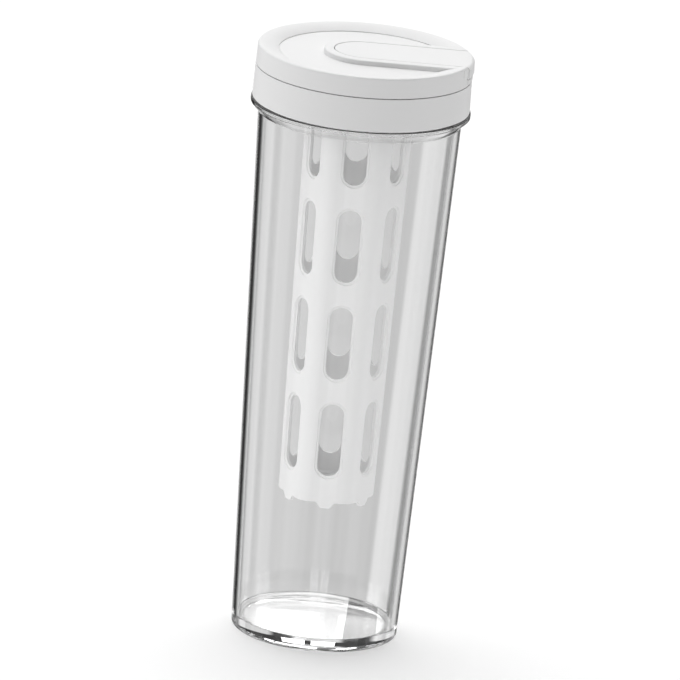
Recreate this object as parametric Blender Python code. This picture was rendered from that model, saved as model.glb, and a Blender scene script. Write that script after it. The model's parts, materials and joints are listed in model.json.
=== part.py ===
"""Cold brew bottle: a clear tapered bottle, a two-tier screw lid with a flip lever, and a slotted infuser.

Metres, +Z up. The bottle stands on the origin, and the lever points along +X. Every size below is
written once; what fits in or seats on another piece takes its size from that piece and a clearance.
"""

import math

import bmesh
import bpy
from mathutils import Matrix, Vector

MM = 0.001

# Clearances between pieces
SEAT_GAP = 0.3 * MM
LEVER_GAP = 0.4 * MM
SEAM_GAP = 0.4 * MM

# Bottle: outer radius at the foot and below the flange, and the wall
BASE_RADIUS = 36.2 * MM
LID_RADIUS = 47.0 * MM
SHOULDER_SETBACK = 3.0 * MM
SHOULDER_HEIGHT = 229.8 * MM
WALL = 2.3 * MM
FLOOR_THICKNESS = 3.0 * MM
FOOT_RECESS = 1.2 * MM
FOOT_WIDTH = 3.6 * MM
FOOT_FILLET = 2.4 * MM
FLOOR_FILLET = 4.0 * MM
SHOULDER_RISE = 3.6 * MM
SHOULDER_BEND = 0.12
SHOULDER_BEND_RISE = 0.38
FLANGE_THICKNESS = 3.7 * MM
FLANGE_PROUD = 0.5 * MM
FLANGE_SLOPE = 0.6 * MM
NECK_HEIGHT = 10.5 * MM
THREAD_SPACE = 1.6 * MM

# Lid collar, which screws on the neck and carries the infuser
COLLAR_LIFT = 0.6 * MM
COLLAR_WALL = 1.8 * MM
LID_TAPER = 0.3 * MM
EDGE_FILLET = 0.4 * MM
SEAL_THICKNESS = 1.5 * MM
DECK_THICKNESS = 2.0 * MM
UPSTAND_WALL = 2.0 * MM
UPSTAND_HEIGHT = 3.5 * MM
UPSTAND_CLEARANCE = 0.9 * MM
SOCKET_WALL = 2.0 * MM
SOCKET_DEPTH = 8.2 * MM
WINDOWS = 4
WINDOW_MARGIN = 2.2 * MM
WINDOW_RIB = 6.0 * MM

# Lid cap, with its dished top and the long raised boss round the lever
CAP_SEAL_THICKNESS = 0.9 * MM
CAP_DECK = 2.3 * MM
CAP_WALL = 2.4 * MM
RIM_HEIGHT = 2.2 * MM
RIM_WIDTH = 8.2 * MM
RIM_FILLET = 0.9 * MM
BOSS_HALF_WIDTH = 17.9 * MM
BOSS_DROP = 0.1 * MM
BOSS_PROUD = 0.45 * MM
BOSS_SIDE = 4.2 * MM
BOSS_EDGE = 0.5 * MM
PAD_THICKNESS = 2.1 * MM
RIDGE_PROUD = 0.5 * MM
RIDGE_HEIGHT = 2.2 * MM
SPOUT_RADIUS = 7.7 * MM
SPOUT_INSET = 1.5 * MM
SPOUT_WALL = 1.6 * MM
SPOUT_DEPTH = 4.8 * MM

# Flip lever, its hinge and its plug
LEVER_HALF_WIDTH = 13.3 * MM
LEVER_THICKNESS = 2.75 * MM
LEVER_EDGE = 0.6 * MM
NOSE_PROUD = 0.95 * MM
NOSE_THICKNESS = 1.9 * MM
NOSE_DROP = 5.4 * MM
PIVOT_RISE = 0.9 * MM
PIN_RADIUS = 0.8 * MM
PIN_CLEARANCE = 0.15 * MM
PIN_BITE = 2.6 * MM
KNUCKLE_WALL = 0.8 * MM
WELL_WALL = 1.5 * MM
PLUG_HEIGHT = 4.3 * MM
PLUG_TAPER = 0.6 * MM
PLUG_WALL = 1.6 * MM
STUD_LENGTH = 1.8 * MM

# Infuser: a hexagonal tube with round corners, slotted in each flat
BASKET_TOP_FLAT = 21.3 * MM
BASKET_BOTTOM_FLAT = 18.9 * MM
BASKET_CORNER = 7.5 * MM
BASKET_WALL = 1.9 * MM
BASKET_RING = 2.7 * MM
BASKET_LENGTH = 186.6 * MM
BASKET_FLOOR = 2.0 * MM
BASKET_FLOOR_RISE = 1.0 * MM
RING_HEIGHT = 9.0 * MM
SIDES = 6
SLOT_ROWS = 4
SLOT_PITCH = 43.8 * MM
SLOT_LENGTH = 32.6 * MM
SLOT_WIDTH = 9.7 * MM
SLOT_CORNER = 4.2 * MM
SLOT_FIRST = 11.9 * MM
SLOT_BEVEL = 1.1 * MM
SLOT_BEVEL_DEPTH = 0.7 * MM
LUG_DROP = 2.5 * MM
LUG_TOP_WIDTH = 8.0 * MM
LUG_TIP_WIDTH = 3.7 * MM

# How finely round shapes are faceted
TURN_STEPS = 64
SEAL_STEPS = 40
BOWL_STEPS = 40
SPOUT_STEPS = 40
BAR_STEPS = 24
PIN_STEPS = 16
SMOOTH_ANGLE = math.radians(35)

# How far a cutter runs past the face it cuts, and how far an added piece stays inside the faces it joins
CUT = 5.0 * MM
INSET = 0.05 * MM

# Radii and heights that follow from the sizes above
SHOULDER_RADIUS = LID_RADIUS - SHOULDER_SETBACK
FLANGE_RADIUS = LID_RADIUS + FLANGE_PROUD
NECK_RADIUS = LID_RADIUS - COLLAR_WALL - THREAD_SPACE
NECK_BORE = NECK_RADIUS - WALL
FLOOR_TOP = FOOT_RECESS + FLOOR_THICKNESS
FLANGE_BOTTOM = SHOULDER_HEIGHT + SHOULDER_RISE
FLANGE_TOP = FLANGE_BOTTOM + FLANGE_THICKNESS
MOUTH_HEIGHT = FLANGE_TOP + NECK_HEIGHT

COLLAR_BOTTOM = FLANGE_TOP + COLLAR_LIFT
SEAL_BOTTOM = MOUTH_HEIGHT + SEAT_GAP
DECK_BOTTOM = SEAL_BOTTOM + SEAL_THICKNESS + SEAT_GAP
DECK_TOP = DECK_BOTTOM + DECK_THICKNESS
COLLAR_TOP = DECK_TOP + SEAT_GAP
SEAM_RADIUS = LID_RADIUS - LID_TAPER
UPSTAND_TOP = DECK_TOP + UPSTAND_HEIGHT
CAP_BORE = SEAM_RADIUS - CAP_WALL
UPSTAND_RADIUS = CAP_BORE - UPSTAND_CLEARANCE

CAP_BOTTOM = COLLAR_TOP + SEAM_GAP
CAP_SEAL_BOTTOM = UPSTAND_TOP + SEAT_GAP
CAP_UNDERSIDE = CAP_SEAL_BOTTOM + CAP_SEAL_THICKNESS + SEAT_GAP
DISH_FLOOR = CAP_UNDERSIDE + CAP_DECK
RIM_TOP = DISH_FLOOR + RIM_HEIGHT
CAP_RADIUS = SEAM_RADIUS - LID_TAPER
BOSS_TOP = RIM_TOP - BOSS_DROP
BOSS_RADIUS = CAP_RADIUS + BOSS_PROUD

LEVER_UNDERSIDE = BOSS_TOP - LEVER_THICKNESS
RECESS_FLOOR = LEVER_UNDERSIDE - SEAT_GAP
RECESS_HALF_WIDTH = LEVER_HALF_WIDTH + LEVER_GAP
NOSE_RADIUS = CAP_RADIUS + NOSE_PROUD
NOSE_BOTTOM = BOSS_TOP - NOSE_DROP
POCKET_RADIUS = NOSE_RADIUS - NOSE_THICKNESS - SEAT_GAP
POCKET_BOTTOM = NOSE_BOTTOM - SEAT_GAP
RIDGE_TOP = POCKET_BOTTOM - SEAT_GAP
PAD_BOTTOM = RECESS_FLOOR - PAD_THICKNESS
PAD_RADIUS = UPSTAND_RADIUS - UPSTAND_WALL - 2 * SEAT_GAP
SPOUT_X = PAD_RADIUS - SPOUT_INSET - SPOUT_WALL - SPOUT_RADIUS
STUD_RADIUS = SPOUT_RADIUS - PLUG_TAPER - 2 * PLUG_WALL
PIVOT_Z = LEVER_UNDERSIDE + PIVOT_RISE
PIN_HALF_LENGTH = RECESS_HALF_WIDTH + PIN_BITE
PIN_BORE = PIN_RADIUS + PIN_CLEARANCE
TAIL_REACH = math.hypot(LEVER_HALF_WIDTH, BOSS_TOP - PIVOT_Z - LEVER_EDGE)
WELL_RADIUS = TAIL_REACH + LEVER_GAP

BASKET_TOP = DECK_BOTTOM - SEAT_GAP
BASKET_BOTTOM = BASKET_TOP - BASKET_LENGTH
RING_BOTTOM = BASKET_TOP - RING_HEIGHT
RING_RADIUS = BASKET_TOP_FLAT + BASKET_RING
SOCKET_BORE = RING_RADIUS + SEAT_GAP
SOCKET_RADIUS = SOCKET_BORE + SOCKET_WALL
MOUTH_RADIUS = BASKET_TOP_FLAT - BASKET_WALL


def clear_scene():
    """Empty the scene."""
    for item in list(bpy.data.objects):
        bpy.data.objects.remove(item, do_unlink=True)


def finish(name, colour, roughness, transmission=0.0, metallic=0.0):
    """A Principled material."""
    material = bpy.data.materials.new(name)
    material.use_nodes = True
    shader = material.node_tree.nodes["Principled BSDF"]
    shader.inputs["Base Color"].default_value = (*colour, 1.0)
    shader.inputs["Roughness"].default_value = roughness
    shader.inputs["Metallic"].default_value = metallic
    shader.inputs["Transmission Weight"].default_value = transmission
    return material


def add_object(name, bm, material=None):
    """Put a bmesh into the scene as a smooth-shaded object with its faces pointing out."""
    bmesh.ops.remove_doubles(bm, verts=bm.verts, dist=1e-7)
    bmesh.ops.recalc_face_normals(bm, faces=bm.faces)
    mesh = bpy.data.meshes.new(name)
    bm.to_mesh(mesh)
    bm.free()
    mesh.shade_smooth()
    mesh.set_sharp_from_angle(angle=SMOOTH_ANGLE)
    item = bpy.data.objects.new(name, mesh)
    bpy.context.scene.collection.objects.link(item)
    if material:
        mesh.materials.append(material)
    return item


def arc(centre, radius, start, end, steps):
    """Points of a circular arc, angles in degrees, both ends included."""
    angles = [math.radians(start + (end - start) * i / steps) for i in range(steps + 1)]
    return [(centre[0] + radius * math.cos(a), centre[1] + radius * math.sin(a)) for a in angles]


def turned(profile, steps=TURN_STEPS):
    """Revolve a closed (radius, height) profile about Z. One that starts on the axis also ends on it."""
    bm = bmesh.new()
    points = [bm.verts.new((r, 0.0, z)) for r, z in profile]
    edges = [bm.edges.new(pair) for pair in zip(points, points[1:])]
    if profile[0][0] > 0:
        edges.append(bm.edges.new((points[-1], points[0])))
    bmesh.ops.spin(
        bm,
        geom=points + edges,
        cent=(0, 0, 0),
        axis=(0, 0, 1),
        angle=2 * math.pi,
        steps=steps,
        use_merge=True,
    )
    bmesh.ops.remove_doubles(bm, verts=bm.verts, dist=1e-7)
    return bm


def prism(outline, low, high, edge=0.0):
    """Extrude an (x, y) outline from low to high, its top edge rounded by edge."""
    bm = bmesh.new()
    base = bm.faces.new([bm.verts.new((x, y, low)) for x, y in outline])
    raised = bmesh.ops.extrude_face_region(bm, geom=[base])["geom"]
    top = [item for item in raised if isinstance(item, bmesh.types.BMVert)]
    bmesh.ops.translate(bm, verts=top, vec=(0, 0, high - low))
    if edge:
        rim = [e for e in bm.edges if all(v in top for v in e.verts)]
        bmesh.ops.bevel(bm, geom=rim, offset=edge, segments=2, profile=0.5, affect="EDGES")
    return bm


def lofted(rings):
    """Skin closed rings of equal length, and cap both ends."""
    bm = bmesh.new()
    loops = [[bm.verts.new(p) for p in ring] for ring in rings]
    for low, high in zip(loops, loops[1:]):
        for i in range(len(low)):
            j = (i + 1) % len(low)
            bm.faces.new((low[i], low[j], high[j], high[i]))
    bm.faces.new(loops[0])
    bm.faces.new(loops[-1])
    return bm


def cylinder(radius, start, end, steps):
    """A round bar between two points."""
    bm = bmesh.new()
    start, end = Vector(start), Vector(end)
    turn = (end - start).to_track_quat("Z", "Y").to_matrix().to_4x4()
    bmesh.ops.create_cone(
        bm,
        cap_ends=True,
        segments=steps,
        radius1=radius,
        radius2=radius,
        depth=(end - start).length,
        matrix=Matrix.Translation((start + end) / 2) @ turn,
    )
    return bm


def helper(name, bm):
    """A cutter or an addition, kept out of renders."""
    item = add_object(name, bm)
    item.hide_render = True
    item.display_type = "WIRE"
    return item


def combine(target, operation, name, bm):
    """Cut a helper from the target, or join it on."""
    modifier = target.modifiers.new(name, "BOOLEAN")
    modifier.operation = operation
    modifier.solver = "EXACT"
    modifier.object = helper(name, bm)


def bowl(radius, brim):
    """Lower part of a sphere round the middle of the hinge, cut level at the brim."""
    tilt = math.degrees(math.asin((brim - PIVOT_Z) / radius))
    return turned([(0.0, brim)] + arc((0, PIVOT_Z), radius, tilt, -90, 10), BOWL_STEPS)


def pill(half_width, end_radius, steps=12):
    """Outline of a long tab: a half circle about the axis, straight sides, and an arc of end_radius."""
    tip = math.degrees(math.asin(half_width / end_radius))
    outline = arc((0, 0), half_width, 90, 270, 2 * steps)
    outline += arc((0, 0), end_radius, -tip, tip, steps)
    return outline


def sector(inner, outer, half_width, steps=12):
    """Outline of a short arc-shaped block at +X, between two radii."""
    far = math.degrees(math.asin(half_width / outer))
    near = math.degrees(math.asin(half_width / inner))
    return arc((0, 0), outer, -far, far, steps) + arc((0, 0), inner, near, -near, steps)


def hexagon(flat, corner, height, steps=3):
    """Ring of points: a hexagon with a flat facing -Y, its corners rounded."""
    points = []
    for side in range(SIDES):
        direction = 360 / SIDES * side - 90 + 180 / SIDES
        reach = (flat - corner) / math.cos(math.pi / SIDES)
        centre = (reach * math.cos(math.radians(direction)), reach * math.sin(math.radians(direction)))
        half = 180 / SIDES
        points += arc(centre, corner, direction - half, direction + half, steps)
    return [(x, y, height) for x, y in points]


def flat_at(height):
    """Distance from the axis to the infuser's outer flats at a height, which narrow towards the bottom."""
    share = (height - BASKET_BOTTOM) / (RING_BOTTOM - BASKET_BOTTOM)
    return BASKET_BOTTOM_FLAT + (BASKET_TOP_FLAT - BASKET_BOTTOM_FLAT) * share


def make_bottle(material):
    """The clear bottle: recessed foot, tapered wall, flange under the lid, and open neck."""
    slope = (SHOULDER_RADIUS - BASE_RADIUS) / (SHOULDER_HEIGHT - FOOT_FILLET)
    foot_flat = BASE_RADIUS - FOOT_FILLET
    recess = foot_flat - FOOT_WIDTH
    outside = [(0.0, FOOT_RECESS), (recess - FOOT_RECESS, FOOT_RECESS), (recess, 0.0)]
    outside += arc((foot_flat, FOOT_FILLET), FOOT_FILLET, -90, 0, 4)
    outside += [(SHOULDER_RADIUS, SHOULDER_HEIGHT)]
    rise = FLANGE_BOTTOM - SHOULDER_HEIGHT
    bend_radius = SHOULDER_RADIUS + SHOULDER_BEND * SHOULDER_SETBACK
    outside += [(bend_radius, SHOULDER_HEIGHT + SHOULDER_BEND_RISE * rise)]
    outside += [(FLANGE_RADIUS - FLANGE_SLOPE, FLANGE_BOTTOM)]
    outside += [(FLANGE_RADIUS, FLANGE_BOTTOM + FLANGE_THICKNESS / 2)]
    outside += [(FLANGE_RADIUS, FLANGE_TOP - EDGE_FILLET)]
    outside += [(FLANGE_RADIUS - EDGE_FILLET, FLANGE_TOP), (NECK_RADIUS, FLANGE_TOP)]
    outside += [(NECK_RADIUS, MOUTH_HEIGHT - EDGE_FILLET), (NECK_RADIUS - EDGE_FILLET, MOUTH_HEIGHT)]
    inside = [(NECK_BORE + EDGE_FILLET, MOUTH_HEIGHT), (NECK_BORE, MOUTH_HEIGHT - EDGE_FILLET)]
    inside += [(NECK_BORE, FLANGE_BOTTOM), (SHOULDER_RADIUS - WALL, SHOULDER_HEIGHT)]
    corner_height = FLOOR_TOP + FLOOR_FILLET
    corner_radius = BASE_RADIUS - WALL + slope * (corner_height - FOOT_FILLET)
    inside += arc((corner_radius - FLOOR_FILLET, corner_height), FLOOR_FILLET, 0, -90, 5)
    inside += [(0.0, FLOOR_TOP)]
    return add_object("bottle_body", turned(outside + inside), material)


def make_neck_seal(material):
    """Flat silicone ring between the bottle's mouth and the collar's deck."""
    inner, outer = NECK_BORE + SEAT_GAP, NECK_RADIUS - SEAT_GAP
    low, high = SEAL_BOTTOM, SEAL_BOTTOM + SEAL_THICKNESS
    profile = [(inner, high), (outer, high), (outer, low), (inner, low)]
    return add_object("neck_seal", turned(profile, SEAL_STEPS), material)


def make_collar(material):
    """The screw collar: a skirt, a deck with pour windows, a thread ring above and a socket below."""
    bore = LID_RADIUS - COLLAR_WALL
    upstand_bore = UPSTAND_RADIUS - UPSTAND_WALL
    profile = [(MOUTH_RADIUS, DECK_TOP), (upstand_bore, DECK_TOP), (upstand_bore, UPSTAND_TOP)]
    profile += [(UPSTAND_RADIUS, UPSTAND_TOP), (UPSTAND_RADIUS, DECK_TOP)]
    profile += [(SEAM_RADIUS - COLLAR_WALL, DECK_TOP), (SEAM_RADIUS - COLLAR_WALL, COLLAR_TOP)]
    profile += [(SEAM_RADIUS - EDGE_FILLET, COLLAR_TOP), (SEAM_RADIUS, COLLAR_TOP - EDGE_FILLET)]
    profile += [(LID_RADIUS, COLLAR_BOTTOM + EDGE_FILLET), (LID_RADIUS - EDGE_FILLET, COLLAR_BOTTOM)]
    profile += [(bore, COLLAR_BOTTOM), (bore, DECK_BOTTOM), (SOCKET_RADIUS, DECK_BOTTOM)]
    profile += [(SOCKET_RADIUS, DECK_BOTTOM - SOCKET_DEPTH), (SOCKET_BORE, DECK_BOTTOM - SOCKET_DEPTH)]
    profile += [(SOCKET_BORE, DECK_BOTTOM), (MOUTH_RADIUS, DECK_BOTTOM)]
    collar = add_object("lid_collar", turned(profile), material)
    near, far = SOCKET_RADIUS + WINDOW_MARGIN, NECK_BORE - WINDOW_MARGIN
    for number in range(WINDOWS):
        outline = []
        for radius, steps in ((far, 6), (near, 4)):
            half = 180 / WINDOWS - math.degrees(math.asin(WINDOW_RIB / 2 / radius))
            direction = 360 / WINDOWS * number
            side = 1 if radius == far else -1
            outline += arc((0, 0), radius, direction - side * half, direction + side * half, steps)
        window = prism(outline, DECK_BOTTOM - CUT, DECK_TOP + CUT)
        combine(collar, "DIFFERENCE", f"window_cut_{number}", window)
    return collar


def make_cap_seal(material):
    """Flat silicone ring between the collar's thread ring and the cap."""
    inner, outer = UPSTAND_RADIUS - UPSTAND_WALL + SEAT_GAP, UPSTAND_RADIUS - SEAT_GAP
    low, high = CAP_SEAL_BOTTOM, CAP_SEAL_BOTTOM + CAP_SEAL_THICKNESS
    profile = [(inner, high), (outer, high), (outer, low), (inner, low)]
    return add_object("cap_seal", turned(profile, SEAL_STEPS), material)


def rim_height(radius, crest):
    """Height of the rim's inner slope: a parabola from the crest down to the dish."""
    share = (crest - radius) / RIM_WIDTH
    return RIM_TOP - RIM_HEIGHT * share**2


def make_cap(material):
    """The cap: a dish with a sloping rim, and a boss that houses the lever, its hinge and the spout."""
    crest = CAP_RADIUS - RIM_FILLET
    slope = [crest - RIM_WIDTH * i / 4 for i in range(4, -1, -1)]
    profile = [(0.0, DISH_FLOOR)] + [(r, rim_height(r, crest)) for r in slope]
    profile += arc((crest, RIM_TOP - RIM_FILLET), RIM_FILLET, 90, 0, 3)[1:]
    profile += [(SEAM_RADIUS, CAP_BOTTOM + EDGE_FILLET), (SEAM_RADIUS - EDGE_FILLET, CAP_BOTTOM)]
    profile += [(CAP_BORE, CAP_BOTTOM), (CAP_BORE, CAP_UNDERSIDE), (0.0, CAP_UNDERSIDE)]
    cap = add_object("lid_cap", turned(profile), material)

    boss = prism(pill(BOSS_HALF_WIDTH, BOSS_RADIUS), BOSS_TOP - BOSS_SIDE, BOSS_TOP, BOSS_EDGE)
    combine(cap, "UNION", "boss_add", boss)
    pad = prism(pill(BOSS_HALF_WIDTH - BOSS_EDGE, PAD_RADIUS), PAD_BOTTOM, RECESS_FLOOR)
    combine(cap, "UNION", "pad_add", pad)
    sleeve_ends = [(SPOUT_X, 0, RECESS_FLOOR - SPOUT_DEPTH), (SPOUT_X, 0, PAD_BOTTOM + SEAT_GAP)]
    combine(cap, "UNION", "sleeve_add", cylinder(SPOUT_RADIUS + SPOUT_WALL, *sleeve_ends, SPOUT_STEPS))
    combine(cap, "UNION", "well_add", bowl(WELL_RADIUS + WELL_WALL, CAP_UNDERSIDE + SEAT_GAP))
    ridge = sector(CAP_BORE + EDGE_FILLET, CAP_RADIUS + RIDGE_PROUD, LEVER_HALF_WIDTH - BOSS_EDGE)
    combine(cap, "UNION", "ridge_add", prism(ridge, RIDGE_TOP - RIDGE_HEIGHT, RIDGE_TOP, EDGE_FILLET))

    recess = prism(pill(RECESS_HALF_WIDTH, BOSS_RADIUS + CUT), RECESS_FLOOR, RIM_TOP + CUT)
    combine(cap, "DIFFERENCE", "recess_cut", recess)
    pocket = sector(POCKET_RADIUS, BOSS_RADIUS + CUT, RECESS_HALF_WIDTH)
    combine(cap, "DIFFERENCE", "pocket_cut", prism(pocket, POCKET_BOTTOM, RIM_TOP + CUT))
    combine(cap, "DIFFERENCE", "well_cut", bowl(WELL_RADIUS, RECESS_FLOOR + SEAT_GAP))
    half_bore = PIN_HALF_LENGTH + SEAT_GAP
    bore = cylinder(PIN_BORE, (0, -half_bore, PIVOT_Z), (0, half_bore, PIVOT_Z), PIN_STEPS)
    combine(cap, "DIFFERENCE", "pin_bore_cut", bore)
    spout_ends = [(SPOUT_X, 0, DECK_TOP - CUT), (SPOUT_X, 0, RIM_TOP + CUT)]
    combine(cap, "DIFFERENCE", "spout_cut", cylinder(SPOUT_RADIUS, *spout_ends, SPOUT_STEPS))
    return cap


def make_pin(material):
    """Steel hinge pin, held in the boss at both ends."""
    bar = cylinder(PIN_RADIUS, (0, -PIN_HALF_LENGTH, PIVOT_Z), (0, PIN_HALF_LENGTH, PIVOT_Z), PIN_STEPS)
    return add_object("hinge_pin", bar, material)


def make_lever(material):
    """The flip lever: a long plate, rounded at its hinge end, with a nose over the rim for the thumb."""
    plate = prism(pill(LEVER_HALF_WIDTH, NOSE_RADIUS), LEVER_UNDERSIDE, BOSS_TOP, LEVER_EDGE)
    lever = add_object("flip_lever", plate, material)
    nose = sector(NOSE_RADIUS - NOSE_THICKNESS, NOSE_RADIUS - INSET, LEVER_HALF_WIDTH - INSET)
    combine(lever, "UNION", "nose_add", prism(nose, NOSE_BOTTOM, BOSS_TOP - LEVER_THICKNESS / 2))
    knuckle_radius = PIN_BORE + KNUCKLE_WALL
    half_knuckle = LEVER_HALF_WIDTH - LEVER_EDGE
    ends = [(0, -half_knuckle, PIVOT_Z), (0, half_knuckle, PIVOT_Z)]
    combine(lever, "UNION", "knuckle_add", cylinder(knuckle_radius, *ends, BAR_STEPS))
    stud = [(SPOUT_X, 0, LEVER_UNDERSIDE - STUD_LENGTH), (SPOUT_X, 0, BOSS_TOP - LEVER_THICKNESS / 2)]
    combine(lever, "UNION", "stud_add", cylinder(STUD_RADIUS, *stud, BAR_STEPS))
    half_bore = RECESS_HALF_WIDTH
    bore = cylinder(PIN_BORE, (0, -half_bore, PIVOT_Z), (0, half_bore, PIVOT_Z), PIN_STEPS)
    combine(lever, "DIFFERENCE", "lever_bore_cut", bore)
    return lever


def make_plug(material):
    """Silicone plug: a tapered cup that sits on the lever's stud and closes the spout."""
    top = LEVER_UNDERSIDE - SEAT_GAP
    radius = SPOUT_RADIUS - SEAT_GAP
    stud = STUD_RADIUS + SEAT_GAP
    stud_end = LEVER_UNDERSIDE - STUD_LENGTH - SEAT_GAP
    profile = [(0.0, stud_end), (stud, stud_end), (stud, top), (radius, top)]
    profile += [(radius - PLUG_TAPER, top - PLUG_HEIGHT + EDGE_FILLET)]
    profile += [(radius - PLUG_TAPER - EDGE_FILLET, top - PLUG_HEIGHT), (0.0, top - PLUG_HEIGHT)]
    bm = turned(profile, SPOUT_STEPS)
    bmesh.ops.translate(bm, verts=bm.verts, vec=(SPOUT_X, 0, 0))
    return add_object("spout_plug", bm, material)


def slot_outline(grow, steps=3):
    """Upright slot outline, widened all round by grow, as (across, up) points about its own middle."""
    radius = SLOT_CORNER + grow
    across = SLOT_WIDTH / 2 - SLOT_CORNER
    rise = SLOT_LENGTH / 2 - SLOT_CORNER
    centres = [(across, rise), (-across, rise), (-across, -rise), (across, -rise)]
    return [p for i, c in enumerate(centres) for p in arc(c, radius, 90 * i, 90 * (i + 1), steps)]


def slot_cutter():
    """Every slot of the infuser: a straight slot with round corners, its outer edge chamfered."""
    bm = bmesh.new()
    for row in range(SLOT_ROWS):
        middle = BASKET_BOTTOM + SLOT_FIRST + row * SLOT_PITCH + SLOT_LENGTH / 2
        flat = flat_at(middle)
        lean = math.atan2(BASKET_TOP_FLAT - BASKET_BOTTOM_FLAT, RING_BOTTOM - BASKET_BOTTOM)
        wide = SLOT_BEVEL * (SLOT_BEVEL_DEPTH + SEAT_GAP) / SLOT_BEVEL_DEPTH
        depths = [
            (flat - BASKET_WALL - CUT, 0.0),
            (flat - SLOT_BEVEL_DEPTH, 0.0),
            (flat + SEAT_GAP, wide),
        ]
        for side in range(SIDES):
            turn = Matrix.Rotation(math.radians(360 / SIDES * side - 90), 4, "Z")
            rings = []
            for depth, grow in depths:
                ring = []
                for across, up in slot_outline(grow):
                    point = Vector((depth + up * math.tan(lean), across, middle + up))
                    ring.append(bm.verts.new(turn @ point))
                rings.append(ring)
            for low, high in zip(rings, rings[1:]):
                for i in range(len(low)):
                    j = (i + 1) % len(low)
                    bm.faces.new((low[i], low[j], high[j], high[i]))
            bm.faces.new(rings[0])
            bm.faces.new(rings[-1])
    return bm


def make_basket(material):
    """The infuser: a tapered hexagonal tube, closed at the bottom, with a round ring for the collar."""
    inner_corner = BASKET_CORNER - BASKET_WALL
    floor_low = BASKET_BOTTOM + BASKET_FLOOR_RISE
    floor_high = floor_low + BASKET_FLOOR
    rings = [hexagon(flat_at(floor_low) - BASKET_WALL, inner_corner, floor_low)]
    rings += [hexagon(BASKET_BOTTOM_FLAT - BASKET_WALL, inner_corner, BASKET_BOTTOM)]
    rings += [hexagon(BASKET_BOTTOM_FLAT, BASKET_CORNER, BASKET_BOTTOM)]
    rings += [hexagon(BASKET_TOP_FLAT, BASKET_CORNER, RING_BOTTOM)]
    for height in (RING_BOTTOM, BASKET_TOP):
        ring = []
        for x, y, z in hexagon(BASKET_TOP_FLAT, BASKET_CORNER, height):
            grow = RING_RADIUS / math.hypot(x, y)
            ring.append((grow * x, grow * y, z))
        rings.append(ring)
    rings += [hexagon(BASKET_TOP_FLAT - BASKET_WALL, inner_corner, BASKET_TOP)]
    rings += [hexagon(flat_at(floor_high) - BASKET_WALL, inner_corner, floor_high)]
    basket = add_object("infuser_basket", lofted(rings), material)

    lug_bm = bmesh.new()
    for side in range(SIDES):
        turn = Matrix.Rotation(math.radians(360 / SIDES * side - 90), 4, "Z")
        overlap = BASKET_FLOOR_RISE / 2
        shape = [(-LUG_TOP_WIDTH / 2, overlap), (-LUG_TOP_WIDTH / 2, 0), (-LUG_TIP_WIDTH / 2, -LUG_DROP)]
        shape += [(LUG_TIP_WIDTH / 2, -LUG_DROP), (LUG_TOP_WIDTH / 2, 0), (LUG_TOP_WIDTH / 2, overlap)]
        faces = []
        for depth in (BASKET_BOTTOM_FLAT - BASKET_WALL + SEAT_GAP, BASKET_BOTTOM_FLAT - INSET):
            faces.append([lug_bm.verts.new(turn @ Vector((depth, x, BASKET_BOTTOM + z))) for x, z in shape])
        for i in range(len(shape)):
            j = (i + 1) % len(shape)
            lug_bm.faces.new((faces[0][i], faces[0][j], faces[1][j], faces[1][i]))
        lug_bm.faces.new(faces[0])
        lug_bm.faces.new(faces[1])
    combine(basket, "UNION", "lugs_add", lug_bm)
    combine(basket, "DIFFERENCE", "slots_cut", slot_cutter())
    return basket


def main():
    clear_scene()
    clear_plastic = finish("clear plastic", (0.93, 0.95, 0.95), 0.03, transmission=1.0)
    white_plastic = finish("white plastic", (0.82, 0.82, 0.82), 0.45)
    silicone = finish("silicone", (0.86, 0.86, 0.84), 0.6)
    steel = finish("steel", (0.62, 0.62, 0.63), 0.25, metallic=1.0)

    make_bottle(clear_plastic)
    make_neck_seal(silicone)
    make_collar(white_plastic)
    make_cap_seal(silicone)
    make_cap(white_plastic)
    make_pin(steel)
    make_lever(white_plastic)
    make_plug(silicone)
    make_basket(white_plastic)


main()
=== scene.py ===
"""Cold brew bottle: the dressed model and its studio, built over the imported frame.

A clear tapered bottle, a white two-tier screw lid with a flip lever, and a white slotted infuser. Every
length is in metres in the frame's own place: +Z up, the lever along +X, the foot on the origin.
"""

import json
import math
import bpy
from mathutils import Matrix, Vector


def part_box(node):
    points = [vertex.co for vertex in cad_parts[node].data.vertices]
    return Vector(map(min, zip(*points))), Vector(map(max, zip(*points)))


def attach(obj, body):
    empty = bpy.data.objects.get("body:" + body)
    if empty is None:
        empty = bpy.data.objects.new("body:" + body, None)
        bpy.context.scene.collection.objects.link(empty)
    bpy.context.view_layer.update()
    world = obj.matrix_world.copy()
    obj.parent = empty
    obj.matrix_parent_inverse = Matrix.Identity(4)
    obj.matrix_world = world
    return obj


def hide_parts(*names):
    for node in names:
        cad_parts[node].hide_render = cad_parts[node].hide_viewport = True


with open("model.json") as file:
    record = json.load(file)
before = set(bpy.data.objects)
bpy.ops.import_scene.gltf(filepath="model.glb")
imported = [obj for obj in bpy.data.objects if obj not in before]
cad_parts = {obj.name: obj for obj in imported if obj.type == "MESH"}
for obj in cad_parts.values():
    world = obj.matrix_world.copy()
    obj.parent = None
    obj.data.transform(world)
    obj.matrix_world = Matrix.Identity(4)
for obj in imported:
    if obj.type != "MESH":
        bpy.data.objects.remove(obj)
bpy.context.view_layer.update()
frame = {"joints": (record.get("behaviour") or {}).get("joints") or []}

from types import SimpleNamespace

import bmesh
import bpy
import numpy as np
from mathutils import Matrix, Vector

bl_info = {
    "name": "Cold Brew Bottle",
    "version": (1, 0, 0),
    "blender": (4, 5, 0),
    "location": "3D View > Sidebar > Bottle",
    "description": "Builds a clear cold brew bottle with its lid, infuser and studio",
    "category": "Object",
}

MM = 0.001
HINGE_Z = [joint for joint in frame["joints"] if joint["name"] == "lever_flip"][0]["pos_m"][2]

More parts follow.
